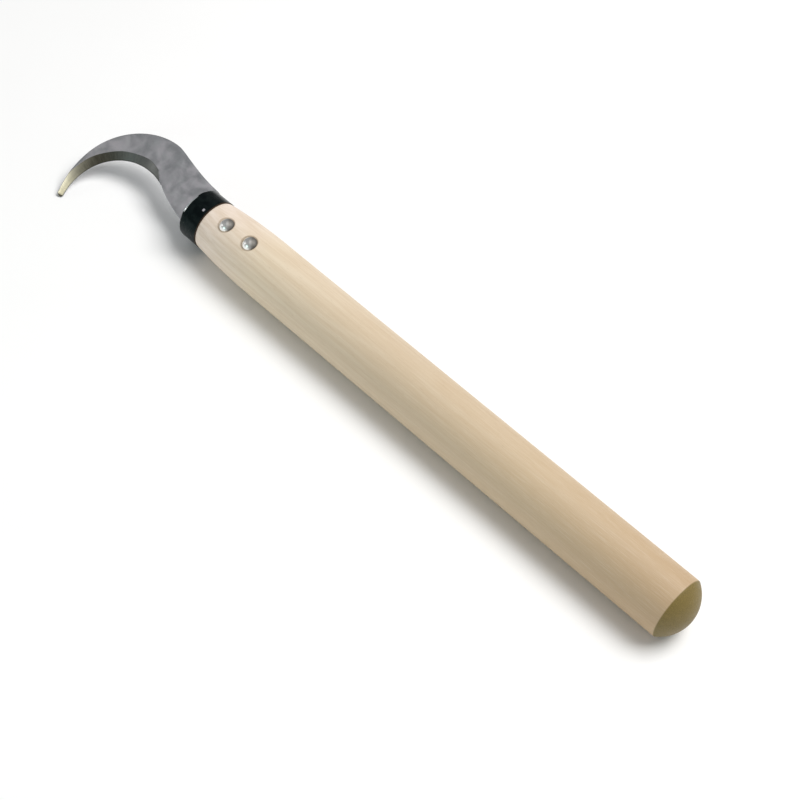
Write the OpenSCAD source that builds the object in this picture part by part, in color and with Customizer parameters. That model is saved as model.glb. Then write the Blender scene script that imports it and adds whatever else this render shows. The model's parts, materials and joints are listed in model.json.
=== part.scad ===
// Hook knife: a flat hooked blade whose tang is riveted into a round wooden handle, with a
// ferrule round the front end of the wood.
// The knife lies as it lies on a table: the handle, the rim of the rear burr and the tip of the
// hook touch it.
// +X runs along the handle from the blade to the butt, and +Z is up.
// The origin is on the handle's axis, in the middle of its parallel grip.

/* [Handle] */
// Diameter of the parallel grip
grip_d = 30; // [24:0.5:40]
// Length of the wood from the ferrule to the edge of the domed butt
wood_l = 290; // [160:5:400]
// Length of the nose, over which the wood swells to the grip
nose_l = 36; // [20:1:80]
// How much smaller the radius of the wood is at the ferrule than at the grip
nose_drop = 2.1; // [0.5:0.1:3]
// Height of the domed butt
dome_h = 8.1; // [2:0.1:11]

/* [Ferrule] */
// Length of the ferrule
ferrule_l = 12; // [8:0.5:24]
// Thickness of its wall
ferrule_wall = 1.2; // [0.8:0.1:2]
// Thickness of its front plate
plate_t = 1.5; // [0.8:0.1:3]
// How far its wall stands proud of the wood behind it
ferrule_proud = 0.35; // [0:0.05:1]
// Radius of the rolled lip round its front
lip_r = 1; // [0.3:0.1:2]

/* [Blade] */
// Distance from the ferrule to the outermost point of the hook
reach = 69.5; // [58:0.5:88]
// Thickness of the blade
blade_t = 2.5; // [2.2:0.1:5]
// Width of the neck at the ferrule
neck_w = 23.4; // [18:0.2:27]
// How far the spine side of the neck stands out beyond the ferrule
spine_proud = 0.6; // [0:0.1:2]
// How far the crown of the hook rises above the neck
crown_rise = 5.6; // [2:0.2:12]
// Width of the blade at the crown
crown_w = 19.1; // [16:0.1:22]
// Width of the blade where the hook turns down
leg_w = 5.7; // [4:0.1:10]
// Radius of the back of the hook round its bend
hook_r = 33.6; // [28:0.2:42]
// Radius of the back of the hook down its leg
leg_r = 54; // [44:0.5:80]
// How far the tip reaches below the handle's axis
tip_drop = 37.8; // [30:0.2:48]

/* [Cutting edge] */
// How much smaller the radius of the edge is than the back of the hook
bend_drop = 9.4; // [6:0.1:13]
// How much flatter the edge runs down the leg and towards the heel than round the bend
edge_ease = 6.8; // [2:0.1:12]
// Direction, seen from the edge's centre, where the bend of the edge meets its leg
leg_from = 171; // [150:1:180]
// Direction, seen from the edge's centre, where the bend meets the run to the heel
run_from = 104; // [92:1:130]
// Distance from the ferrule to the heel of the edge
heel_l = 27.6; // [22:0.2:36]
// How far the neck stands back from the heel
heel_notch = 0.5; // [0.2:0.1:2]
// Angle at which the neck falls away from the heel
heel_fall = 34; // [10:1:50]
// Width of the ground bevel, seen from above
bevel_w = 3.9; // [1:0.1:4.5]
// Thickness of steel left at the edge
edge_t = 0.2; // [0.1:0.05:0.6]
// Slant of the line where the bevel ends at the heel
plunge_a = 48; // [0:1:60]
// Length of the edge left unground at the heel
heel_land = 0.4; // [0.2:0.1:2]

/* [Tang] */
// Width of the tang at the shoulders
tang_w = 16; // [10:0.5:18]
// Width of the tang at its far end
tang_end_w = 12; // [8:0.5:18]
// Length of the tang from the shoulders
tang_l = 54; // [52:1:120]
// Thickness of the tang
tang_t = 2.1; // [1.5:0.1:2.1]

/* [Rivets] */
// Diameter of the shank
rivet_d = 4; // [2:0.1:6]
// Distance from the ferrule to the front rivet
rivet_x = 12.5; // [8:0.5:16]
// Distance between the rivets
rivet_pitch = 16.4; // [10:0.2:24]
// Diameter of the domed head
head_d = 7.4; // [6.5:0.1:9]
// Height of the domed head
head_h = 2.5; // [1.5:0.1:3.5]
// Depth to which the head is let into the wood
head_sink = 0.7; // [0.5:0.1:1.5]
// Diameter of the burr under the peened tail
burr_d = 8; // [7:0.1:10]
// Thickness of the burr
burr_t = 0.8; // [0.5:0.1:1.5]
// Depth to which the burr is let into the wood
burr_sink = 1.2; // [1:0.1:2]
// Diameter of the peened tail
tail_d = 5.6; // [4.6:0.1:7]
// Height of the peened tail
tail_h = 0.9; // [0.5:0.1:1.5]

/* [Fits] */
// Gap all round the tang in its slots
slot_gap = 0.1; // [0.05:0.05:0.3]
// Gap all round the wood inside the ferrule
ferrule_gap = 0.05; // [0.05:0.05:0.2]
// Gap round each rivet's shank
shank_gap = 0.05; // [0.05:0.05:0.2]
// Gap round each head and burr in its seat
seat_gap = 0.2; // [0.05:0.05:0.5]

/* [Hidden] */
$fn = 96;
// Overlap that makes cuts run clean through
over = 1;

grip_r = grip_d / 2;
nose_r = grip_r - nose_drop;
nose_arc_r = (nose_l^2 + nose_drop^2) / (2 * nose_drop);
nose_steps = 18;
grip_mid = (nose_l + wood_l) / 2;
ferrule_r = nose_r + ferrule_proud;
spigot_r = ferrule_r - ferrule_wall - ferrule_gap;
spigot_l = ferrule_l - plate_t - ferrule_gap;
edge_z = edge_t - blade_t / 2;
rivet_places = [rivet_x, rivet_x + rivet_pitch];

// Outline of the blade, on the knife's own plane: x along the handle from the ferrule's rear
// edge, y across it towards the spine.
spine_y = ferrule_r + spine_proud;
crown_y = spine_y + crown_rise;
far_x = -ferrule_l - reach;
hook_c = [far_x + hook_r, crown_y - hook_r];
leg_c = [far_x + leg_r, hook_c.y];

// The edge is three arcs, each tangent to the next: leg, bend and run to the heel
bend_r = hook_r - bend_drop;
flat_r = bend_r + edge_ease;
edge_leg_c = [far_x + leg_w + flat_r, crown_y - crown_w - flat_r]
           + edge_ease * [0, sin(run_from) - sin(leg_from)];
bend_c = edge_leg_c + edge_ease * [cos(leg_from), sin(leg_from)];
run_c = bend_c - edge_ease * [cos(run_from), sin(run_from)];

leg_end = 180 + asin((tip_drop + leg_c.y) / leg_r);
edge_end = 180 + asin((tip_drop + edge_leg_c.y) / flat_r);
heel_x = -ferrule_l - heel_l;
// Angle by which the grinding runs on past each end of the edge
run_on = 15;
// The flatter arcs are ground a hair deeper than the bend. They stop short of it by one angle, and
// the bend runs on under them by the other, so that no two ground faces coincide.
grind_step = 0.02;
grind_short = 1.5;
grind_lap = 6;
heel_a = acos((heel_x - run_c.x) / flat_r);

tip_back = arc_point(leg_c, leg_r, leg_end);
tip_edge = arc_point(edge_leg_c, flat_r, edge_end);
heel = arc_point(run_c, flat_r, heel_a);
tip_c = (tip_back + tip_edge) / 2;
tip_r = norm(tip_edge - tip_back) / 2;

// Curves of the neck and spine: where each starts and ends, the share of its length over which it
// runs straight on from there, and its slope
neck_end = [-ferrule_l, spine_y - neck_w];
notch_lean = 0.6;
neck_start = heel + heel_notch * [notch_lean, 1];
neck_share = 0.3;
neck_run = heel_l * neck_share;
neck_slope = 11;
spine_start = [-ferrule_l, spine_y];
crown = [hook_c.x, crown_y];
spine_run = spine_start.x - crown.x;
spine_share = 0.5;
crown_share = 0.15;
spine_lift = 0.75;

// Tilt that lays both the grip and the tip's lower corner on the table
tip_low = tip_r - tip_c.y;
tilt = asin(grip_r / norm([tip_low, blade_t / 2])) - atan(blade_t / 2 / tip_low);

function arc_point(c, r, a) = c + r * [cos(a), sin(a)];
// Arc in n steps, without its first point
function arc(c, r, from, to, n) = [for (i = [1:n]) arc_point(c, r, from + (to - from) * i / n)];
// Smooth curve from a to d, drawn towards b and c on the way, without its first point
function curve(a, b, c, d, n) = [for (i = [1:n])
    let (t = i / n, s = 1 - t) s^3 * a + 3 * s^2 * t * b + 3 * s * t^2 * c + t^3 * d];
function wood_r(x) = x > nose_l ? grip_r
    : grip_r - nose_arc_r + sqrt(nose_arc_r^2 - (nose_l - x)^2);
function head_seat(x) = wood_r(x) - head_sink;
function burr_seat(x) = wood_r(x) - burr_sink;

// Turns a shape drawn along +Z to run along the handle
module along_handle() {
    rotate([0, 90, 0]) children();
}

// Lays the knife on the table, with the middle of the grip at the origin
module at_rest() {
    rotate([tilt, 0, 0]) translate([-grip_mid, 0, 0]) children();
}

// Cap of a ball, with its flat side down
module dome(d, h) {
    ball_r = (d^2 / 4 + h^2) / (2 * h);
    intersection() {
        translate([0, 0, h - ball_r]) sphere(r = ball_r);
        translate([0, 0, h / 2]) cube([d + over, d + over, h], center = true);
    }
}

module flat_plate(t) {
    translate([0, 0, -t / 2]) linear_extrude(t) children();
}

module rivet_holes(length) {
    for (x = rivet_places)
        translate([x, 0, 0]) cylinder(d = rivet_d + 2 * shank_gap, h = length, center = true);
}

module blade_outline() {
    polygon(concat([spine_start],
        curve(spine_start, spine_start + [-spine_run * spine_share, spine_lift],
             crown + [spine_run * crown_share, 0], crown, 16),
        arc(hook_c, hook_r, 90, 180, 30),
        arc(leg_c, leg_r, 180, leg_end, 11),
        arc(tip_c, tip_r, 180, 360, 10),
        arc(edge_leg_c, flat_r, edge_end, leg_from, 12),
        arc(bend_c, bend_r, leg_from, run_from, 21),
        arc(run_c, flat_r, run_from, heel_a, 10),
        [neck_start],
        curve(neck_start, neck_start + neck_run * [cos(heel_fall), -sin(heel_fall)],
             neck_end + neck_run * [-cos(neck_slope), sin(neck_slope)], neck_end, 12)));
}

// Outline of the tang, or of its slot when a gap is given
module tang_outline(gap) {
    root = tang_w / 2 + gap;
    end = tang_end_w / 2 + gap;
    polygon([
        [-ferrule_l - over, -root],
        [tang_l - ferrule_l + gap, -end],
        [tang_l - ferrule_l + gap, end],
        [-ferrule_l - over, root]]);
}

// What the grinding takes off along one arc of the edge: a cone that leaves edge_t at radius r
module bevel_arc(c, r, from, to) {
    slope = bevel_w / (blade_t - edge_t);
    low = -blade_t / 2 - over;
    high = blade_t / 2 + over;
    translate([c.x, c.y, 0])
        rotate([0, 0, from])
            rotate_extrude(angle = to - from)
                polygon([[r - 2 * bevel_w, low], [r + slope * (low - edge_z), low],
                         [r + slope * (high - edge_z), high], [r - 2 * bevel_w, high]]);
}

// What it takes off along the run to the heel, where it ends on a slanted line
module bevel_run() {
    plunge = arc_point(run_c, flat_r, heel_a + heel_land / flat_r * 180 / PI);
    difference() {
        bevel_arc(run_c, flat_r + grind_step, heel_a - run_on, run_from - grind_short);
        translate([plunge.x, plunge.y, 0])
            rotate([0, 0, plunge_a])
                translate([hook_r, 0, 0]) cube(2 * hook_r, center = true);
    }
}

module blade() {
    color([0.56, 0.57, 0.59])
        at_rest() difference() {
            union() {
                difference() {
                    flat_plate(blade_t) blade_outline();
                    bevel_arc(edge_leg_c, flat_r + grind_step, leg_from + grind_short,
                              edge_end + run_on);
                    bevel_arc(bend_c, bend_r, run_from - grind_lap, leg_from + grind_lap);
                    bevel_run();
                }
                flat_plate(tang_t) tang_outline(0);
            }
            rivet_holes(blade_t + 2 * over);
        }
}

module ferrule() {
    color([0.04, 0.05, 0.06])
        at_rest() translate([-ferrule_l, 0, 0]) difference() {
            along_handle() rotate_extrude()
                polygon(concat([[0, 0], [ferrule_r - lip_r, 0]],
                    arc([ferrule_r - lip_r, lip_r], lip_r, -90, 0, 9),
                    [[ferrule_r, ferrule_l], [spigot_r + ferrule_gap, ferrule_l],
                     [spigot_r + ferrule_gap, plate_t], [0, plate_t]]));
            translate([ferrule_l, 0, 0]) flat_plate(tang_t + 2 * slot_gap)
                tang_outline(slot_gap);
        }
}

module handle() {
    color([0.86, 0.78, 0.64])
        at_rest() difference() {
            along_handle() {
                rotate_extrude()
                    polygon(concat([[0, -spigot_l], [spigot_r, -spigot_l], [spigot_r, 0]],
                        [for (i = [0:nose_steps]) let (x = nose_l * i / nose_steps) [wood_r(x), x]],
                        [[grip_r, wood_l], [0, wood_l]]));
                translate([0, 0, wood_l]) dome(grip_d, dome_h);
            }
            flat_plate(tang_t + 2 * slot_gap) tang_outline(slot_gap);
            rivet_holes(2 * grip_d);
            for (x = rivet_places) {
                translate([x, 0, head_seat(x)])
                    cylinder(d = head_d + 2 * seat_gap, h = grip_r);
                translate([x, 0, -burr_seat(x) - grip_r])
                    cylinder(d = burr_d + 2 * seat_gap, h = grip_r);
            }
        }
}

// Rivet in the place x: head on top, peened tail against the burr, and a shank that runs halfway
// into both
module rivet(x) {
    tail_z = -burr_seat(x) - burr_t;
    shank_z = tail_z - tail_h / 2;
    shank_top = head_seat(x) + head_h / 2;
    color([0.8, 0.8, 0.8])
        at_rest() translate([x, 0, 0]) {
            translate([0, 0, head_seat(x)]) dome(head_d, head_h);
            translate([0, 0, shank_z]) cylinder(d = rivet_d, h = shank_top - shank_z);
            translate([0, 0, tail_z]) mirror([0, 0, 1]) dome(tail_d, tail_h);
        }
}

// Burr in the place x: a round washer let into the back of the handle
module burr(x) {
    color([0.72, 0.72, 0.7])
        at_rest() translate([x, 0, -burr_seat(x) - burr_t]) difference() {
            cylinder(d = burr_d, h = burr_t);
            translate([0, 0, -over])
                cylinder(d = rivet_d + 2 * shank_gap, h = burr_t + 2 * over);
        }
}

module rivet_front() {
    rivet(rivet_places[0]);
}

module rivet_rear() {
    rivet(rivet_places[1]);
}

module burr_front() {
    burr(rivet_places[0]);
}

module burr_rear() {
    burr(rivet_places[1]);
}

blade();
ferrule();
handle();
rivet_front();
rivet_rear();
burr_front();
burr_rear();
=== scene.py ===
# %% [markdown]
# # A hook knife, piece by piece
#
# This lesson builds a hook knife as a joiner or gardener would know it: a flat steel blade bent
# into a hook and ground along its inside, a short lacquered ferrule, a long turned handle, and
# two rivets with washers under their tails. Each piece is a surface that numpy works out as whole
# arrays, and each finish is a small network of nodes written as Python arithmetic.
#
# The frame comes first. It holds the same knife as plain solids, in metres, in the place where
# every piece here has to go. Its box is kept, so that the finished knife can be held against it.

# %% Load the frame
import json
import math
import bpy
import numpy as np
from mathutils import Matrix, Vector

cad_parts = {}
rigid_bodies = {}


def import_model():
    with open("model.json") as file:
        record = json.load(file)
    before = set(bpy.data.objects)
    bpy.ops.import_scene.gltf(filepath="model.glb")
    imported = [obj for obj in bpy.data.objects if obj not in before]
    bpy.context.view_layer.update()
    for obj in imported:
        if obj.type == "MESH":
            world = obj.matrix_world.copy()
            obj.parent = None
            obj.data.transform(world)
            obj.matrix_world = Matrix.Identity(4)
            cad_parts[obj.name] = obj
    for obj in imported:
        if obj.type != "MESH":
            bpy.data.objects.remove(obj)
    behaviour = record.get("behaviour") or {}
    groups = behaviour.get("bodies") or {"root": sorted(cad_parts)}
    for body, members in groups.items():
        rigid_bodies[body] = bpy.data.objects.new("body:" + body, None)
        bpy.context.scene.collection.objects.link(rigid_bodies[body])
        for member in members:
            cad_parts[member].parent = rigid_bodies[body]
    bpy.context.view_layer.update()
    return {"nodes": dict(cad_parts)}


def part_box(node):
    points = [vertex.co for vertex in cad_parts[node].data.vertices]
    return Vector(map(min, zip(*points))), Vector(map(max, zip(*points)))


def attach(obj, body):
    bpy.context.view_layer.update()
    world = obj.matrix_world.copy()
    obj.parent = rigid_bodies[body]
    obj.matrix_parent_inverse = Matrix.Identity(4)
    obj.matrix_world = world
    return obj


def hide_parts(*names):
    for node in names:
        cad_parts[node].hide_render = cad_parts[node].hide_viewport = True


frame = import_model()
print("nodes of the frame:", sorted(frame["nodes"]))

# %% [markdown]
# ## Lengths of the knife
#
# A maker measures along the knife itself: x from the rear edge of the ferrule towards the butt,
# y across the blade towards its spine, z up through the flat of the blade, all in millimetres.
# The knife doesn't lie quite flat. It rests on its grip and on the tip of its hook, so it is
# turned a little about the handle's axis. One function takes the maker's millimetres to the
# scene's metres, and every piece goes through it, so nothing is placed by hand.

# %% Lengths, in millimetres
grip_r = 15.0
wood_l = 290.0
nose_l = 36.0
nose_drop = 2.1
dome_h = 8.1
ferrule_l = 12.0
ferrule_wall = 1.2
ferrule_plate = 1.5
ferrule_proud = 0.35
lip_r = 1.0
blade_t = 2.5
tang_t = 2.1
fit_gap = 0.05
head_sink, burr_sink = 0.7, 1.2
head_d, head_h = 7.4, 2.5
burr_d, burr_t = 8.0, 0.8
tail_d, tail_h = 5.6, 0.9
rivet_places = (12.5, 28.9)
nose_r = grip_r - nose_drop
ferrule_r = nose_r + ferrule_proud
grip_mid = (nose_l + wood_l) / 2

# %% From the knife's own millimetres to the scene's metres
# The far side of the round tip, from the handle's axis
tip_reach = 39.28
tilt = math.asin(grip_r / math.hypot(tip_reach, blade_t / 2)) - math.atan(blade_t / 2 / tip_reach)


def lay_down(points):
    """Slides points back by the middle of the grip, turns them about x by the tilt, and scales
    them from millimetres to metres."""
    x, y, z = np.moveaxis(np.asarray(points, float), -1, 0)
    c, s = math.cos(tilt), math.sin(tilt)
    return 0.001 * np.stack([x - grip_mid, c * y - s * z, s * y + c * z], axis=-1)


print("the knife is turned by", round(math.degrees(tilt), 3), "degrees")

# %% [markdown]
# ## A grid of points becomes a mesh
#
# Every piece of this knife is a tube in the widest sense: a closed ring of points that changes
# its shape from one station to the next, and ends in a point at both ends. A lathe-turned handle
# is such a tube and so is a blade, whose ring is the section across the steel. So one function
# serves them all. It joins each ring to the next with quads and closes both ends with a fan, and
# the sign of the volume tells it which way the faces look.

# %% The function that makes a tube
def quads_between(rows, next_rows, count):
    """Quads from each ring to the next: a ring's vertex is its row times the count plus its
    place, and the place after the last is the first."""
    place = np.arange(count)
    here, beside = rows[:, None] * count + place, rows[:, None] * count + (place + 1) % count
    above = next_rows[:, None] * count + place
    above_beside = next_rows[:, None] * count + (place + 1) % count
    return np.stack([here, beside, above_beside, above], axis=-1).reshape(-1, 4)


def fan(row, tip, count):
    """Triangles from the sides of one ring to a single point."""
    place = np.arange(count)
    return np.stack([row * count + place, row * count + (place + 1) % count,
                     np.full(count, tip)], axis=-1)


def make_tube(name, rings, node_name, sharp=28, hoop=False, marks=None):
    """Makes one closed piece from rings of points, an array of stations x places x 3 in the
    knife's millimetres. Quads join neighbouring rings. A hoop joins its last ring to its first;
    otherwise a fan to the mean of the ring closes each end. marks maps a name to one number for
    each ring point."""
    stations, count = rings.shape[:2]
    rows = np.arange(stations if hoop else stations - 1)
    quads = quads_between(rows, (rows + 1) % stations, count)
    points, fans = rings.reshape(-1, 3), np.empty((0, 3), int)
    if not hoop:
        points = np.concatenate([points, rings[:1].mean(1), rings[-1:].mean(1)])
        fans = np.concatenate([fan(0, stations * count, count)[:, ::-1],
                               fan(stations - 1, stations * count + 1, count)])
    halves = np.concatenate([quads[:, [0, 1, 2]], quads[:, [0, 2, 3]], fans])
    a, b, c = (points[halves[:, i]] for i in range(3))
    if np.einsum("ij,ij->i", a, np.cross(b, c)).sum() < 0:
        quads, fans = quads[:, ::-1], fans[:, ::-1]
    mesh = bpy.data.meshes.new(name)
    mesh.from_pydata(lay_down(points), [], [*quads.tolist(), *fans.tolist()])
    mesh.shade_smooth()
    mesh.set_sharp_from_angle(angle=math.radians(sharp))
    for mark, values in (marks or {}).items():
        layer = mesh.attributes.new(mark, "FLOAT", "POINT")
        layer.data.foreach_set("value", np.concatenate(
            [values.ravel(), [values[0].mean(), values[-1].mean()]]).astype("f"))
    piece = bpy.data.objects.new(name, mesh)
    bpy.context.scene.collection.objects.link(piece)
    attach(piece, "root")
    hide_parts(node_name)
    print(name, "has", len(points), "points and", len(mesh.polygons), "faces")
    return piece


# %% Curves that the pieces share
def arc(centre, radius, start, stop, count):
    """Points on a circle: the centre plus the radius times (cos, sin) of angles in degrees."""
    a = np.radians(np.linspace(start, stop, count))
    return np.asarray(centre) + radius * np.stack([np.cos(a), np.sin(a)], axis=-1)


def pulled_curve(a, b, c, d, count):
    """A cubic from a to d, pulled towards b and c: the four weighted by the powers of t."""
    t = np.linspace(0, 1, count)[:, None]
    s = 1 - t
    return (s**3 * np.asarray(a) + 3 * s**2 * t * np.asarray(b) + 3 * s * t**2 * np.asarray(c)
            + t**3 * np.asarray(d))


def ease(x, start, stop):
    """Runs from 0 at start to 1 at stop, smooth at both ends: 3t^2 - 2t^3."""
    t = np.clip((np.asarray(x, float) - start) / (stop - start), 0, 1)
    return t * t * (3 - 2 * t)


# %% [markdown]
# ## The outline of the blade
#
# A smith forges such a hook from a flat bar and grinds it to its outline. The back of the hook is
# three curves: a long easy line from the ferrule to the crown, a round bend, and a flatter leg to
# the tip. The cutting edge inside is three arcs too, each running smoothly into the next. They
# are written here as the arcs that they are, because an arc has an exact inward direction, and
# the grinding later needs that direction at each point of the edge.

# %% The back of the hook and its cutting edge
spine_proud, crown_rise, crown_w, leg_w = 0.6, 5.6, 19.1, 5.7
reach, heel_l, neck_w, heel_notch = 69.5, 27.6, 23.4, 0.5
hook_r, leg_r, bend_drop = 33.6, 54.0, 9.4
tip_drop = 37.8
spine_y = ferrule_r + spine_proud
crown_y = spine_y + crown_rise
far_x = -ferrule_l - reach
hook_c = np.array([far_x + hook_r, crown_y - hook_r])
leg_c = np.array([far_x + leg_r, hook_c[1]])
bend_r = hook_r - bend_drop
edge_ease = 6.8
flat_r = bend_r + edge_ease
leg_from, run_from = 171.0, 104.0
turn = np.radians([leg_from, run_from])
edge_leg_c = np.array([
    far_x + leg_w + flat_r,
    crown_y - crown_w - flat_r + edge_ease * (np.sin(turn[1]) - np.sin(turn[0]))])
bend_c = edge_leg_c + edge_ease * np.array([np.cos(turn[0]), np.sin(turn[0])])
run_c = bend_c - edge_ease * np.array([np.cos(turn[1]), np.sin(turn[1])])
leg_end = 180 + math.degrees(math.asin((tip_drop + leg_c[1]) / leg_r))
edge_end = 180 + math.degrees(math.asin((tip_drop + edge_leg_c[1]) / flat_r))
heel_a = math.degrees(math.acos((-ferrule_l - heel_l - run_c[0]) / flat_r))
heel = arc(run_c, flat_r, heel_a, heel_a, 1)[0]
tip_back = arc(leg_c, leg_r, leg_end, leg_end, 1)[0]
tip_edge = arc(edge_leg_c, flat_r, edge_end, edge_end, 1)[0]
tip_c, tip_r = (tip_back + tip_edge) / 2, np.linalg.norm(tip_edge - tip_back) / 2

neck_end = np.array([-ferrule_l, spine_y - neck_w])
neck_start = heel + heel_notch * np.array([0.6, 1])
spine_run = -ferrule_l - hook_c[0]
spine_start = np.array([-ferrule_l, spine_y])
back = np.concatenate([
    pulled_curve(spine_start, spine_start + [-spine_run / 2, 0.75],
                 [hook_c[0] + 0.15 * spine_run, crown_y], [hook_c[0], crown_y], 400),
    arc(hook_c, hook_r, 90, 180, 500)[1:],
    arc(leg_c, leg_r, 180, leg_end, 300)[1:],
    arc(tip_c, tip_r, 180, 300, 60)[1:]])
print("heel", heel.round(2), "tip", tip_c.round(2), "radius of the tip", round(tip_r, 2))

# %% [markdown]
# ## Stations along the edge
#
# The path of the blade is its cutting edge, from the ferrule to the tip. At each station a line
# runs from the edge straight into the steel, square to the arc that it stands on, and ends where
# it meets the back. The width of the blade is the length of that line. The tip is round, so the
# last lines stay parallel and shorten to nothing.

# %% Where each line starts, which way it goes and how long it is
def unit(angle):
    """Directions (cos, sin) of angles in degrees."""
    return np.stack([np.cos(np.radians(angle)), np.sin(np.radians(angle))], axis=-1)


neck_pull, neck_slope, heel_fall = 0.3 * heel_l, 11, 34
neck = pulled_curve(neck_end, neck_end + neck_pull * unit(180 - neck_slope),
                    neck_start + neck_pull * unit(-heel_fall), neck_start, 26)
neck_turn = np.linspace(90, heel_a, len(neck))
run_turn = heel_a + (run_from - heel_a) * np.linspace(0, 1, 60)**1.3
bend_turn = np.linspace(run_from, leg_from, 60)[1:]
leg_turn = np.linspace(leg_from, edge_end, 46)[1:]
path = np.concatenate([neck, run_c + flat_r * unit(run_turn), bend_c + bend_r * unit(bend_turn),
                       edge_leg_c + flat_r * unit(leg_turn)])
inward = unit(np.concatenate([neck_turn, run_turn, bend_turn, leg_turn]))


def reach_back(starts, directions, curve):
    """Length of each line from its start to the curve. The cross product of the line's direction
    with the way to each point of the curve changes sign where the line crosses it."""
    away = curve[None] - starts[:, None]
    side = directions[:, None, 0] * away[..., 1] - directions[:, None, 1] * away[..., 0]
    ahead = (directions[:, None] * away).sum(-1)
    crossing = (np.sign(side[:, 1:]) != np.sign(side[:, :-1])) & (ahead[:, 1:] > 0)
    at = crossing.argmax(1)
    rows = np.arange(len(starts))
    share = side[rows, at] / (side[rows, at] - side[rows, at + 1])
    return ahead[rows, at] * (1 - share) + ahead[rows, at + 1] * share


width = reach_back(path, inward, back)
far_side = path[-1] + width[-1] * inward[-1] - tip_c
far_turn = math.degrees(math.atan2(far_side[1], far_side[0])) % 360
middle = (far_turn + 360) / 2
close = 1 - (1 - np.linspace(0, 1, 12)[1:-1])**1.6
cap_edge = tip_c + tip_r * unit(360 - close * (360 - middle))
cap_back = tip_c + tip_r * unit(far_turn + close * (middle - far_turn))
cap_width = np.linalg.norm(cap_back - cap_edge, axis=1)
path = np.concatenate([path, cap_edge])
inward = np.concatenate([inward, (cap_back - cap_edge) / cap_width[:, None]])
width = np.concatenate([width, cap_width])
along = np.concatenate([[0], np.linalg.norm(np.diff(path, axis=0), axis=1).cumsum()])
past_heel = along - along[len(neck)]
print(len(path), "stations over", round(along[-1], 1), "mm; widest", round(width.max(), 2),
      "narrowest", round(width.min(), 2))

# %% [markdown]
# ## The section across the steel
#
# The grinding takes a flat bevel off one face. It narrows towards the heel and stops there on a
# slanting line, where the wheel was lifted away. So the top of the steel is the lower of two
# surfaces: the flat face, and a slope that rises from the edge. Near the heel the slope fades
# into the face. A section starts at the edge, crosses the bevel and the face, turns round the
# eased corners of the back, and returns underneath. Its rows stand close together where the
# bevel meets the face, so that this line stays crisp.

# %% Rows of the section, as distances from the edge
top, bottom = blade_t / 2, -blade_t / 2
hand = 0.03 * np.sin(past_heel / 5.3) + 0.025 * np.sin(past_heel / 2.1 + 1.0)
bevel_w = 3.9 * (1 + hand) * (0.55 + 0.45 * ease(past_heel, 0, 14))
edge_t = 0.2 + 0.5 * ease(past_heel, 45, 82)
corner = 0.28 * np.minimum(1, width / 2)
ground_to = np.minimum(bevel_w, width - corner)
on_bevel = np.array([0, 0.05, 0.2, 0.4, 0.6, 0.8, 0.92, 0.97, 1.0])
on_face = np.array([0.02, 0.1, 0.25, 0.42, 0.6, 0.78, 0.92, 1.0])
bevel_rows = ground_to[:, None] * on_bevel
face_rows = ground_to[:, None] + (width - corner - ground_to)[:, None] * on_face
top_rows = np.concatenate([bevel_rows, face_rows], axis=1)


def ground_height(distance):
    """Height of the top of the steel: a straight slope from the edge up to the flat face."""
    rise = (top - bottom - edge_t) / bevel_w
    slope = bottom + edge_t[:, None] + rise[:, None] * distance
    return np.minimum(top, slope)


# %% The slanting line where the grinding stops
heel_land = 0.4
lift = heel + heel_land * unit(heel_a + 90)
plunge_way = unit(48.0)
spots = path[:, None] + inward[:, None] * top_rows[..., None]
past_plunge = -((spots - lift) @ plunge_way)
fade = ease(past_plunge, 0.0, 0.5)
top_z = top - (top - ground_height(top_rows)) * fade
bevel_mark = fade * (top_rows < ground_to[:, None] * 1.001)
print(int((bevel_mark > 0.5).sum()), "points lie on the bevel")

# %% Rows round the back and underneath
edge_count = len(on_bevel) + len(on_face)
round_out = np.array([0.0, 0.38, 0.71, 0.92, 1.0])
round_down = 1 - np.sqrt(1 - round_out**2)
shoulder_z = top_z[:, -1:]
back_rows = (width - corner)[:, None] + corner[:, None] * round_out[1:]
back_z = shoulder_z - corner[:, None] * round_down[1:]
under_rows = (width - corner)[:, None] + corner[:, None] * round_out[::-1]
under_z = bottom + corner[:, None] * round_down[::-1]
home_rows = (width - corner)[:, None] * np.array([0.8, 0.6, 0.4, 0.2, 0.06, 0.0])
all_rows = np.concatenate([top_rows, back_rows, under_rows, home_rows], axis=1)
all_z = np.concatenate([top_z, back_z, under_z, np.full_like(home_rows, bottom)], axis=1)
plan = path[:, None] + inward[:, None] * all_rows[..., None]
blade_rings = np.concatenate([plan, all_z[..., None]], axis=-1)
filler = np.zeros((len(path), all_rows.shape[1] - edge_count))
marks = {
    "ground": np.concatenate([bevel_mark, filler], axis=1),
    "from_edge": all_rows,
    "from_back": width[:, None] - all_rows,
    "past_heel": np.repeat(past_heel[:, None], all_rows.shape[1], axis=1)}
print("each section has", all_rows.shape[1], "points")

# %% [markdown]
# ## The tang
#
# Behind the shoulder the blade goes on as a narrower and slightly thinner tang, which fills the
# slot in the wood. It is hidden, but it is one piece with the blade, so the same rings carry on:
# the section shrinks at the shoulder and tapers to the end of the tang.

# %% Sections of the tang, put before those of the blade
tang_x = np.array([41.9, 20.0, 0.0, -ferrule_l + 0.02, -ferrule_l + 0.001])
tang_half = np.array([6.0, 6.8, 7.55, 8.0, 8.0])
share = all_rows[0] / width[0]
tang_y = tang_half[:, None] * (2 * share - 1)
tang_z = np.broadcast_to(all_z[0] * tang_t / blade_t, tang_y.shape)
tang_rings = np.stack([np.broadcast_to(tang_x[:, None], tang_y.shape), tang_y, tang_z], axis=-1)
marks = {name: np.concatenate([np.repeat(v[:1], len(tang_x), axis=0), v])
         for name, v in marks.items()}
blade = make_tube("blade_steel_hook", np.concatenate([tang_rings, blade_rings]), "blade",
                  sharp=24, marks=marks)

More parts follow.
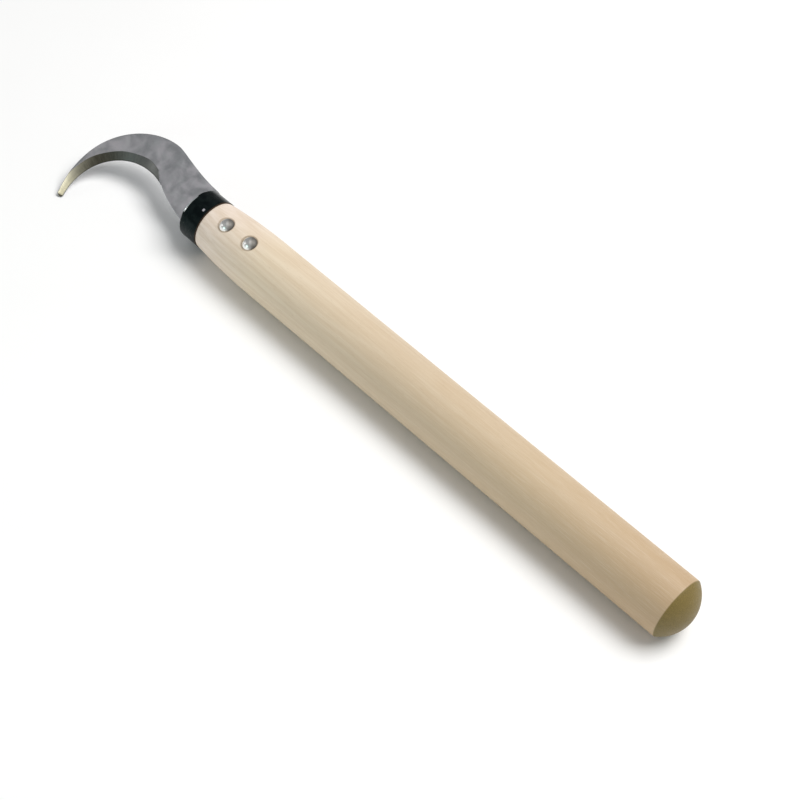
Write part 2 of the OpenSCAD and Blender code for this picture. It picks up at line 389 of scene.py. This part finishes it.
# %% [markdown]
# ## Turned pieces
#
# A lathe makes a piece from one profile: how far the surface is from the axis at each place along
# it. The handle, the ferrule, the rivets and their washers are all turned, about the handle's
# axis or about a rivet's own. A profile is swept round by multiplying its radius by the cosine
# and sine of the angle, which gives the whole surface at once.

# %% Sweep a profile round an axis
def sweep(places, radii, angles):
    """Rings round the x axis: (place, radius times sine, radius times cosine) of each angle."""
    radii = np.broadcast_to(radii, (len(places), len(angles)))
    return np.stack([np.broadcast_to(np.asarray(places)[:, None], radii.shape),
                     radii * np.sin(angles), radii * np.cos(angles)], axis=-1)


def rounded(profile, radius, count=5):
    """Eases each inner corner of a profile with a short curve: the corner is replaced by points
    of the cubic that starts and ends one radius away from it."""
    out = [profile[0]]
    for before, here, after in zip(profile, profile[1:], profile[2:]):
        back_way, on_way = np.subtract(before, here), np.subtract(after, here)
        near = min(radius, 0.45 * np.linalg.norm(back_way), 0.45 * np.linalg.norm(on_way))
        a = here + near * back_way / np.linalg.norm(back_way)
        d = here + near * on_way / np.linalg.norm(on_way)
        out += list(pulled_curve(a, (a + 2 * np.array(here)) / 3, (d + 2 * np.array(here)) / 3,
                                 d, count))
    return np.array([*out, profile[-1]])


# %% [markdown]
# ## The handle
#
# The handle is turned from straight-grained pale wood. Its nose swells from the ferrule to the
# grip on one long arc, the grip is a plain cylinder, and the butt is a shallow dome that meets
# it at a crease. The heads of the rivets and the washers sit in shallow round seats. A seat is
# flat, so in terms of the radius it is its height divided by the cosine of the angle; the surface
# drops to it inside the seat's circle. The grid is dense there and coarse elsewhere.

# %% Profile of the wood
def wood_r(x):
    """Radius of the wood: the grip's, less the drop of one arc that ends at the nose's end."""
    arc_r = (nose_l**2 + nose_drop**2) / (2 * nose_drop)
    x = np.asarray(x, float)
    return grip_r - np.where(x < nose_l, arc_r - np.sqrt(arc_r**2 - (nose_l - x)**2), 0)


spigot_r = ferrule_r - ferrule_wall - fit_gap
ball_r = (grip_r**2 + dome_h**2) / (2 * dome_h)
dome_angles = np.linspace(math.asin(grip_r / ball_r), 0.012, 34)
dome = np.stack([wood_l + dome_h - ball_r + ball_r * np.cos(dome_angles),
                 ball_r * np.sin(dome_angles)], axis=-1)
seats = sorted([*np.arange(7.4, 17.7, 0.2), *np.arange(23.8, 34.1, 0.2)])
body_x = np.unique(np.round([*np.arange(0.4, 7.4, 0.8), *seats, *np.arange(17.8, 23.8, 0.8),
                             *np.arange(34.4, 60, 1.6), *np.arange(60, wood_l - 3, 6.0),
                             *np.linspace(wood_l - 2.4, wood_l - 0.35, 6)], 3))
body = np.stack([body_x, wood_r(body_x)], axis=-1)
front = np.array([[-10.4, 0.3], [-10.4, spigot_r - 0.3], [-10.1, spigot_r], [0.0, spigot_r],
                  [0.02, wood_r(0) - 0.25], [0.12, wood_r(0) - 0.07]])
brim = np.array([[wood_l - 0.12, grip_r - 0.012], [wood_l + 0.06, grip_r - 0.07]])
profile = np.concatenate([front, body, brim, dome[1:]])
print(len(profile), "places along the handle")

# %% Seats for the heads and the washers
fine = np.arange(-0.31, 0.3101, 0.0155)
coarse = np.arange(0.36, math.pi - 0.34, 0.052)
angles = np.concatenate([fine, coarse, math.pi + fine, 2 * math.pi - coarse[::-1]])
surface_r = np.repeat(profile[:, 1:], len(angles), axis=1)
x = profile[:, :1]
body_part = (x > 0.3) & (x < 60)


def cut_seat(radius, place, depth, seat_r, side):
    """Lowers the radius to a flat seat on one side of the wood, inside a circle round the place.
    side is 1 for the face of the knife and -1 for its back."""
    height = side * np.cos(angles)
    flat = (wood_r(place) - depth) / np.maximum(height, 0.5)
    out = np.hypot(x - place, radius * np.sin(angles))
    inside = (1 - ease(out, seat_r - 0.12, seat_r + 0.12)) * (height > 0.5) * body_part
    return radius + (np.minimum(radius, flat) - radius) * inside


seat_mark = np.zeros_like(surface_r)
for place in rivet_places:
    surface_r = cut_seat(surface_r, place, head_sink, head_d / 2 + 0.2, 1)
    surface_r = cut_seat(surface_r, place, burr_sink, burr_d / 2 + 0.2, -1)
    out = np.hypot(x - place, surface_r * np.sin(angles))
    seat_mark = np.maximum(seat_mark, (1 - ease(out, 3.8, 5.2)) * body_part)
handle = make_tube("handle_turned_wood", sweep(profile[:, 0], surface_r, angles), "handle",
                   sharp=30, marks={"seat": seat_mark})

# %% [markdown]
# ## The ferrule
#
# The ferrule is a short cup of sheet steel dipped in thick black lacquer, which stops the wood
# from splitting. Lacquer doesn't set evenly: it draws back from the sharp front and leaves a
# slightly wavy lip. So the lip is a small arc, moved along the axis by three waves round it.

# %% The lacquered cup
bore_r = ferrule_r - ferrule_wall
lip = arc([-ferrule_l + lip_r, ferrule_r - lip_r], lip_r, 90, 180, 12)
cup = np.concatenate([
    rounded([[-ferrule_l + ferrule_plate, 0.2], [-ferrule_l + ferrule_plate, bore_r],
             [-0.02, bore_r], [-0.02, ferrule_r - 0.02]], 0.25),
    [[-0.3, ferrule_r], [-3.0, ferrule_r], [-5.5, ferrule_r], [-8.0, ferrule_r]],
    lip, [[-ferrule_l, 9.0], [-ferrule_l, 4.0], [-ferrule_l, 0.2]]])
angles = np.linspace(0, 2 * math.pi, 144, endpoint=False)
cup_r = np.repeat(cup[:, 1:], len(angles), axis=1)
cup_x = np.repeat(cup[:, :1], len(angles), axis=1)
outside = cup_r > bore_r + 0.1
waves = (0.5 * np.sin(3 * angles + 0.6) + 0.3 * np.sin(7 * angles + 2.0)
         + 0.2 * np.sin(13 * angles))
near_lip = ease(-cup_x, 5.0, 11.0) * outside
cup_x = cup_x + 0.38 * (waves + 1) * near_lip
cup_r = cup_r - 0.05 * (waves + 1) * ease(-cup_x, 1.0, 6.0) * outside
cup_rings = np.stack([cup_x, cup_r * np.sin(angles), cup_r * np.cos(angles)], axis=-1)
ferrule = make_tube("ferrule_black_cup", cup_rings, "ferrule", sharp=40)

# %% [markdown]
# ## Rivets and burrs
#
# Each rivet has a domed head let into the face of the handle and a shank through wood and tang.
# Its tail is hammered over a burr, a small round washer let into the back. The heads are set with
# a hollow punch, which leaves them smooth and round.

# %% A rivet is turned about its own axis
def stand(rings, place):
    """Turns rings about the x axis into rings about a line along z at the place."""
    along_z, across_y, across_x = np.moveaxis(rings, -1, 0)
    return np.stack([place + across_x, across_y, along_z], axis=-1)


def cap_profile(width_across, height, count):
    """Half the outline of a ball's cap, from its rim to its top, as (height, radius)."""
    ball = (width_across**2 / 4 + height**2) / (2 * height)
    a = np.linspace(math.asin(min(1, width_across / 2 / ball)), 0.02, count)
    return np.stack([height - ball + ball * np.cos(a), ball * np.sin(a)], axis=-1)


angles = np.linspace(0, 2 * math.pi, 64, endpoint=False)
for name, place in zip(("rivet_front", "rivet_rear"), rivet_places):
    head_z = float(wood_r(place)) - head_sink
    tail_z = -float(wood_r(place)) + burr_sink - burr_t
    head = cap_profile(head_d, head_h - 0.01, 26)
    tail = cap_profile(tail_d, tail_h, 12)
    rivet = np.concatenate([
        np.stack([tail_z - tail[::-1, 0], tail[::-1, 1]], axis=-1),
        [[tail_z, 2.75], [tail_z, 2.0], [tail_z + 0.05, 2.0], [head_z - 0.05, 2.0],
         [head_z, 2.0], [head_z, 3.6], [head_z + 0.05, 3.69], [head_z + 0.16, 3.68]],
        head[2:] + [head_z, 0]])
    rings = stand(sweep(rivet[:, 0], rivet[:, 1:], angles), place)
    # How far each point lies towards the spine and the butt, the side of the head that gets
    # painted shade
    rubbed = -0.7 * (rings[..., 0] - place + rings[..., 1])
    make_tube(name + "_domed", rings, name, sharp=35, marks={"rubbed": rubbed})

# %% A burr is a washer with eased rims
for name, place in zip(("burr_front", "burr_rear"), rivet_places):
    low = -float(wood_r(place)) + burr_sink - burr_t
    rim = np.array([[low, 2.06], [low, 3.0], [low, 3.8], [low + 0.06, 3.94], [low + 0.2, 4.0],
                    [low + 0.6, 4.0], [low + 0.74, 3.94], [low + 0.8, 3.8], [low + 0.8, 3.0],
                    [low + 0.8, 2.06], [low + 0.7, 2.03], [low + 0.1, 2.03]])
    make_tube(name + "_washer", stand(sweep(rim[:, 0], rim[:, 1:], angles), place), name,
              sharp=35, hoop=True)

# %% [markdown]
# ## Finishes written as sums
#
# A finish is a network of nodes, and drawing it by hand hides what it works out. The class below
# wraps the output of a node, so that a sum of two wires adds the Math node that does it. Any other
# node comes from one method: its type, its settings, then what its sockets get. All patterns are
# placed in the knife's own millimetres: a Mapping node turns the coordinates back by the tilt.

# %% Wires between nodes
class Wire:
    """The output of a node. Arithmetic on wires adds the Math nodes that work it out."""

    def __init__(self, tree, socket):
        self.tree, self.socket = tree, socket

    def node(self, kind, settings, sockets, out=0):
        """Adds a node of a kind, sets its settings, then gives its sockets values or wires."""
        made = self.tree.nodes.new(kind)
        for key, value in settings.items():
            if key == "stops":
                steps = made.color_ramp.elements
                while len(steps) < len(value):
                    steps.new(0.5)
                for step, (place, colour) in zip(steps, value):
                    step.position, step.color = place, (*colour, 1)
            else:
                setattr(made, key, value)
        for key, value in sockets.items():
            if isinstance(value, Wire):
                self.tree.links.new(value.socket, made.inputs[key])
            else:
                made.inputs[key].default_value = value
        return Wire(self.tree, made.outputs[out])

    def sums(self, operation, first, second):
        return self.node("ShaderNodeMath", {"operation": operation}, {0: first, 1: second})

    def __add__(self, other):
        return self.sums("ADD", self, other)

    def __sub__(self, other):
        return self.sums("SUBTRACT", self, other)

    def __rsub__(self, other):
        return self.sums("SUBTRACT", other, self)

    def __mul__(self, other):
        return self.sums("MULTIPLY", self, other)

    __radd__, __rmul__ = __add__, __mul__

    def step(self, start, stop, low=0.0, high=1.0):
        """Runs smoothly from low at start to high at stop, and stays there."""
        return self.node("ShaderNodeMapRange", {"interpolation_type": "SMOOTHSTEP"},
                         {0: self, 1: start, 2: stop, 3: low, 4: high})

    def stretch(self, along_x, along_y, along_z):
        """A vector multiplied by three numbers, which squeezes or draws out a pattern."""
        return self.node("ShaderNodeVectorMath", {"operation": "MULTIPLY"},
                         {0: self, 1: (along_x, along_y, along_z)})

    def noise(self, detail=3.0, roughness=0.5, warp=0.0):
        """Noise of about 0 to 1 at the places that this vector names."""
        return self.node("ShaderNodeTexNoise", {"noise_dimensions": "3D"},
                         {"Vector": self, "Scale": 1.0, "Detail": detail,
                          "Roughness": roughness, "Distortion": warp})

    def tint(self, first, second):
        """A colour that runs from the first at 0 to the second at 1."""
        return self.node("ShaderNodeMix", {"data_type": "RGBA", "clamp_factor": True},
                         {0: self, 6: first if isinstance(first, Wire) else (*first, 1),
                          7: second if isinstance(second, Wire) else (*second, 1)}, out=2)


class Finish:
    """A material with one Principled shader, and where its patterns are read."""

    def __init__(self, name, **numbers):
        self.material = bpy.data.materials.new(name)
        self.material.use_nodes = True
        tree = self.material.node_tree
        self.shader = tree.nodes["Principled BSDF"]
        for socket, value in numbers.items():
            self.shader.inputs[socket.replace("_", " ")].default_value = value
        self.start = Wire(tree, None)
        place = self.start.node("ShaderNodeTexCoord", {}, {}, out=3)
        self.place = place.node("ShaderNodeMapping", {"vector_type": "POINT"},
                                {"Vector": place, "Location": (grip_mid, 0, 0),
                                 "Rotation": (-tilt, 0, 0), "Scale": (1000, 1000, 1000)})
        self.x, self.y, self.z = (
            place.node("ShaderNodeSeparateXYZ", {}, {0: self.place}, out=i) for i in range(3))

    def mark(self, name):
        """The number that a mesh carries at each point under this name."""
        return self.start.node("ShaderNodeAttribute", {"attribute_name": name}, {}, out=2)

    def feed(self, **wires):
        """Links wires to the shader's sockets of these names."""
        for socket, wire in wires.items():
            self.start.tree.links.new(wire.socket, self.shader.inputs[socket.replace("_", " ")])

    def bump(self, height, depth, strength=1.0):
        """Feeds a Bump node to the shader's Normal: the height, times a depth in metres."""
        relief = self.start.node("ShaderNodeBump", {}, {"Strength": strength, "Distance": depth,
                                                        "Height": height})
        self.feed(Normal=relief)

    def put_on(self, *pieces):
        for piece in pieces:
            piece.data.materials.clear()
            piece.data.materials.append(self.material)
        print(self.material.name, "has", len(self.material.node_tree.nodes), "nodes")


# %% [markdown]
# ## Wood
#
# The handle is pale hardwood, turned along the grain. Three layers of it show. Growth rings lie
# nearly flat through the stick and are cut as long faint bands. Fibres are fine streaks hundreds
# of times longer than wide, so their noise is squeezed along x. Across the domed butt the same
# fibres are cut end-on and it is painted much darker: partly the end grain's own colour, partly
# painted shade on the end that faces away from the light. The whole wood darkens steadily from
# the nose to the butt, partly its own tone and partly painted shade, and it is darker in a ring
# round each rivet's seat.

# %% The finish of the handle
wood = Finish("pale_turned_wood", IOR=1.45)
sway = wood.place.stretch(0.011, 0.06, 0.06).noise(2.0)
ring_place = wood.y * 0.42 + wood.z * 0.55 + sway * 9.0
rings = wood.start.node("ShaderNodeMath", {"operation": "SINE"}, {0: ring_place * 2.6})
streaks = wood.place.stretch(0.022, 1.1, 1.1).noise(4.0, 0.6)
fibres = wood.place.stretch(0.09, 5.0, 5.0).noise(3.0, 0.65)
flecks = wood.place.stretch(0.35, 2.6, 2.6).noise(2.0, 0.5).step(0.62, 0.74)
butt = wood.x.step(wood_l - 0.25, wood_l + 0.35)
end_pores = wood.place.stretch(0.3, 3.2, 3.2).noise(3.0, 0.6)
# Darker from the nose to the butt: partly the wood's own tone, partly painted shade
tone = wood.start.node("ShaderNodeValToRGB", {"stops": [
    (0.0, (0.86, 0.74, 0.65)), (0.14, (0.78, 0.66, 0.50)), (0.42, (0.65, 0.525, 0.375)),
    (0.72, (0.59, 0.455, 0.30)), (1.0, (0.49, 0.345, 0.205))]}, {0: wood.x * (1 / wood_l)})
tone = (rings * 0.5 + 0.5).step(0.0, 1.0, 0.0, 0.18).tint(tone, (0.56, 0.41, 0.25))
tone = streaks.step(0.35, 0.75, 0.0, 0.30).tint(tone, (0.52, 0.38, 0.23))
tone = fibres.step(0.45, 0.75, 0.0, 0.25).tint(tone, (0.86, 0.76, 0.62))
tone = (flecks * 0.22).tint(tone, (0.42, 0.29, 0.17))
# End grain of the butt: its own darker colour, and partly painted shade
end_tone = end_pores.step(0.3, 0.7).tint((0.23, 0.165, 0.045), (0.15, 0.11, 0.028))
tone = butt.tint(tone, end_tone)
# Darker in a ring round each rivet's seat
tone = (wood.mark("seat").step(0.35, 0.9) * 0.6).tint(tone, (0.30, 0.22, 0.14))
wood.feed(Base_Color=tone, Roughness=streaks.step(0.3, 0.7, 0.42, 0.56))
wood.bump(fibres * 0.6 + streaks * 0.6 + butt * end_pores * 1.2, 0.00006, 0.6)
wood.put_on(handle)

# %% [markdown]
# ## Steel of the blade
#
# The faces are rolled and heat-treated steel: an even grey with faint blotches, scratches from
# wiping, and a few pale specks that are painted glints. The bevel is freshly ground. Its scratches
# run from the edge into the steel, as the wheel turned, so their pattern follows two numbers that
# the mesh carries: how far a point is past the heel and how far from the edge. The bevel's colour
# is painted light: dark at the crown, lighter and straw-coloured towards the tip, and lighter
# again in its upper half on the leg, where the bevel turns towards the light.

# %% The finish of the blade
steel = Finish("satin_forged_steel", Metallic=1.0)
ground = steel.mark("ground")
past, inset, to_back = steel.mark("past_heel"), steel.mark("from_edge"), steel.mark("from_back")
blotches = steel.place.stretch(0.13, 0.13, 0.13).noise(3.0, 0.55, 0.4)
cloud = steel.place.stretch(0.4, 0.4, 0.4).noise(4.0, 0.6)
# Pale specks past the heel are painted glints
glint_specks = steel.place.stretch(0.9, 0.9, 0.9).noise(2.0, 0.5).step(0.58, 0.68)
wiping = steel.place.stretch(0.35, 5.0, 5.0).noise(3.0, 0.7)
face = blotches.step(0.3, 0.7).tint((0.42, 0.43, 0.45), (0.56, 0.545, 0.575))
face = cloud.step(0.4, 0.8, 0.0, 0.5).tint(face, (0.52, 0.56, 0.56))
face = (glint_specks * past.step(20.0, 60.0) * 0.7).tint(face, (0.85, 0.80, 0.70))
along_edge = steel.start.node("ShaderNodeCombineXYZ", {},
                              {0: past * 3.0, 1: inset * 0.25, 2: 0.0})
wheel = along_edge.noise(4.0, 0.7)
# Painted light along the bevel: dark at the crown, lighter and straw-coloured towards the tip
bevel = steel.start.node("ShaderNodeValToRGB", {"stops": [
    (0.0, (0.15, 0.155, 0.155)), (0.34, (0.15, 0.16, 0.155)), (0.45, (0.085, 0.085, 0.07)),
    (0.55, (0.085, 0.08, 0.06)), (0.72, (0.15, 0.145, 0.11)), (0.86, (0.18, 0.17, 0.12)),
    (1.0, (0.16, 0.15, 0.10))]}, {0: past * (1 / 70.0)})
# Painted light: the upper half of the bevel is lighter on the leg
bevel = (inset.step(1.2, 3.8) * past.step(35.0, 65.0) * 0.5).tint(bevel, (0.55, 0.53, 0.42))
bevel = wheel.step(0.35, 0.7, 0.0, 0.3).tint(bevel, (0.26, 0.25, 0.2))
honed = inset.step(0.5, 0.15)
bevel = (honed * 0.6).tint(bevel, (0.05, 0.05, 0.045))
tone = ground.tint(face, bevel)
rim = to_back.step(0.5, 0.05) * (1 - ground)
tone = (rim * 0.6).tint(tone, (0.17, 0.18, 0.19))
steel.feed(Base_Color=tone, Roughness=ground.node(
    "ShaderNodeMix", {"data_type": "FLOAT"},
    {0: ground, 2: blotches.step(0.3, 0.7, 0.42, 0.55), 3: wheel.step(0.3, 0.7, 0.32, 0.45)}))
steel.bump((1 - ground) * (wiping * 0.5 + cloud * 0.8) + ground * wheel, 0.00004, 0.5)
steel.put_on(blade)

# %% [markdown]
# ## Lacquer
#
# The ferrule's lacquer is thick, glossy and nearly black, with the slight swell that a brush or
# a dip leaves. Where the rear edge meets the wood a little brown size shows through the film, and
# on the front lip, beside the flat of the blade, it's rubbed through to the bright steel below.
# A small pale spot on the top, near the wood, is a painted highlight. Each mark is a product of
# steps, one for each side of the area that it fills.

# %% The finish of the ferrule
# The teal specular tint colours every reflection in the lacquer: a painted teal reflection
lacquer = Finish("black_lacquer", Coat_Roughness=0.08, Specular_IOR_Level=0.10,
                 Specular_Tint=(0.35, 0.9, 0.9, 1))
swell = lacquer.place.stretch(0.35, 0.35, 0.35).noise(2.0, 0.5)
specks = lacquer.place.stretch(2.4, 2.4, 2.4).noise(2.0, 0.5)
tone = swell.step(0.3, 0.7).tint((0.0025, 0.003, 0.0035), (0.005, 0.007, 0.007))
tone = lacquer.x.step(-0.6, -0.1, 0.0, 0.5).tint(tone, (0.10, 0.055, 0.03))
from_axis = lacquer.y * lacquer.y + lacquer.z * lacquer.z
on_lip = lacquer.x.step(-10.4, -10.9) * lacquer.z.step(6.0, 9.0) * from_axis.step(147.0, 158.0)
beside = lacquer.y.step(-8.0, -6.5) * lacquer.y.step(3.0, 1.0)
worn = on_lip * beside * specks.step(0.25, 0.42)
tone = worn.tint(tone, (0.88, 0.90, 0.90))
# Painted highlight: a small pale spot on the top of the ferrule, near the wood
painted_glint = lacquer.x.step(-3.4, -3.0) * lacquer.x.step(-1.9, -2.3)
painted_glint = painted_glint * lacquer.y.step(-2.2, -1.7) * lacquer.y.step(-0.4, -0.9) * lacquer.z.step(6.0, 11.0)
tone = (painted_glint * 0.5).tint(tone, (0.75, 0.72, 0.78))
lacquer.feed(Base_Color=tone, Roughness=specks.step(0.3, 0.7, 0.16, 0.30), Metallic=worn,
             Coat_Weight=swell.step(0.4, 0.75, 0.0, 0.08))
lacquer.bump(swell * 3.0 + specks * 0.25, 0.00006, 0.5)
lacquer.put_on(ferrule)

# %% [markdown]
# ## Bright steel
#
# The rivets' heads were burnished by the punch, so they shine, with fine scratches. The side of
# each head towards the spine and the butt is painted darker and made rougher: painted shade that
# dims the highlight of the panel above. The mesh carries how far each point lies towards that
# side. The burrs are blanked from sheet and stay plain and dull.

# %% The finish of the rivets
bright = Finish("burnished_steel", Metallic=1.0)
scratches = bright.place.stretch(1.2, 6.0, 6.0).noise(4.0, 0.7)
dents = bright.place.stretch(0.9, 0.9, 0.9).noise(2.0, 0.5)
tone = dents.step(0.3, 0.7).tint((0.84, 0.84, 0.82), (0.95, 0.95, 0.93))
tone = scratches.step(0.6, 0.8, 0.0, 0.5).tint(tone, (0.36, 0.35, 0.33))
# Painted shade: the side of each head towards the spine and the butt is darker and rougher
painted_shade = bright.mark("rubbed").step(1.2, -2.0)
tone = (painted_shade * 0.85).tint(tone, (0.10, 0.09, 0.075))
bright.feed(Base_Color=tone, Roughness=scratches.step(0.3, 0.75, 0.26, 0.36) + painted_shade * 0.35)
bright.bump(dents * 1.0 + scratches * 0.12, 0.00007, 0.4)
bright.put_on(*(bpy.data.objects[n] for n in ("rivet_front_domed", "rivet_rear_domed")))

# %% The finish of the burrs
dull = Finish("blanked_steel", Metallic=1.0)
grain = dull.place.stretch(2.5, 2.5, 2.5).noise(4.0, 0.65)
stain = dull.place.stretch(0.5, 0.5, 0.5).noise(2.0, 0.5)
tone = grain.step(0.3, 0.7).tint((0.42, 0.42, 0.40), (0.56, 0.56, 0.54))
tone = stain.step(0.5, 0.75, 0.0, 0.6).tint(tone, (0.24, 0.21, 0.18))
dull.feed(Base_Color=tone, Roughness=grain.step(0.3, 0.7, 0.38, 0.55))
dull.bump(grain, 0.00005, 0.6)
dull.put_on(*(bpy.data.objects[n] for n in ("burr_front_washer", "burr_rear_washer")))

# %% [markdown]
# ## Floor, light and camera
#
# The knife lies on a plain pale floor. The light is that of a small studio: an even pale sky that
# fills every shadow, one broad soft panel above and behind, and two weak ones low in front that
# catch on the rivets and the ferrule. The camera looks down at about 48 degrees, and is rolled a
# little, so that the knife runs from the upper left to the lower right.

# %% The floor
floor_z = float(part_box("handle")[0][2])
floor_half, floor_gap = 12.0, 0.0002
ground_points = floor_half * np.array([[-1, -1, 0], [1, -1, 0], [1, 1, 0], [-1, 1, 0]], float)
ground_points[:, 2] = floor_z - floor_gap
floor_mesh = bpy.data.meshes.new("floor")
floor_mesh.from_pydata(ground_points, [], [(0, 1, 2, 3)])
floor = bpy.data.objects.new("floor", floor_mesh)
bpy.context.scene.collection.objects.link(floor)
paper = Finish("pale_paper", Roughness=0.9)
paper.feed(Base_Color=paper.place.stretch(0.02, 0.02, 0.02).noise(2.0).tint(
    (0.93, 0.93, 0.93), (0.95, 0.95, 0.95)))
paper.put_on(floor)
print("the floor lies at", round(floor_z - floor_gap, 5), "metres")

# %% The light
world = bpy.data.worlds.new("pale_sky")
world.use_nodes = True
world.node_tree.nodes["Background"].inputs["Color"].default_value = (1.0, 1.0, 1.0, 1)
world.node_tree.nodes["Background"].inputs["Strength"].default_value = 0.33
bpy.context.scene.world = world


def panel(name, place, target, size, power, colour):
    """Adds a square light of a size, at a place, facing a target."""
    data = bpy.data.lights.new(name, "AREA")
    data.size, data.energy, data.color = size, power, colour
    lamp = bpy.data.objects.new(name, data)
    lamp.location = place
    way = np.subtract(target, place)
    lamp.rotation_mode = "QUATERNION"
    lamp.rotation_quaternion = Vector(way).to_track_quat("-Z", "Y")
    bpy.context.scene.collection.objects.link(lamp)
    print(name, "gives", power, "watts over", size, "metres")


panel("panel_above", (0.4, 0.55, 1.5), (-0.05, 0, 0), 1.1, 27.0, (1.0, 0.99, 0.98))
panel("panel_left", (-1.05, -0.75, 0.35), (-0.15, 0, 0), 0.3, 0.8, (1.0, 1.0, 1.0))
panel("panel_low", (-0.14, -0.75, 0.2), (-0.10, 0, 0), 0.22, 0.6, (0.7, 1.0, 0.96))

# %% The camera
lens = bpy.data.cameras.new("camera")
lens.sensor_width, lens.lens = 36.0, 76.68
lens.clip_start, lens.clip_end = 0.01, 100.0
camera = bpy.data.objects.new("camera", lens)
right = np.array([0.70486, 0.69770, 0.12804])
upward = np.array([-0.58970, 0.47602, 0.65242])
forward = np.cross(upward, right)
camera.matrix_world = Matrix([[*row, place] for row, place in zip(
    np.stack([right, upward, -forward], axis=1), (0.27429, -0.41883, 0.57189))] + [[0, 0, 0, 1]])
bpy.context.scene.collection.objects.link(camera)
bpy.context.scene.camera = camera
bpy.context.scene.view_settings.view_transform = "Standard"
print("the camera looks down by", round(math.degrees(math.asin(-forward[2])), 1), "degrees")
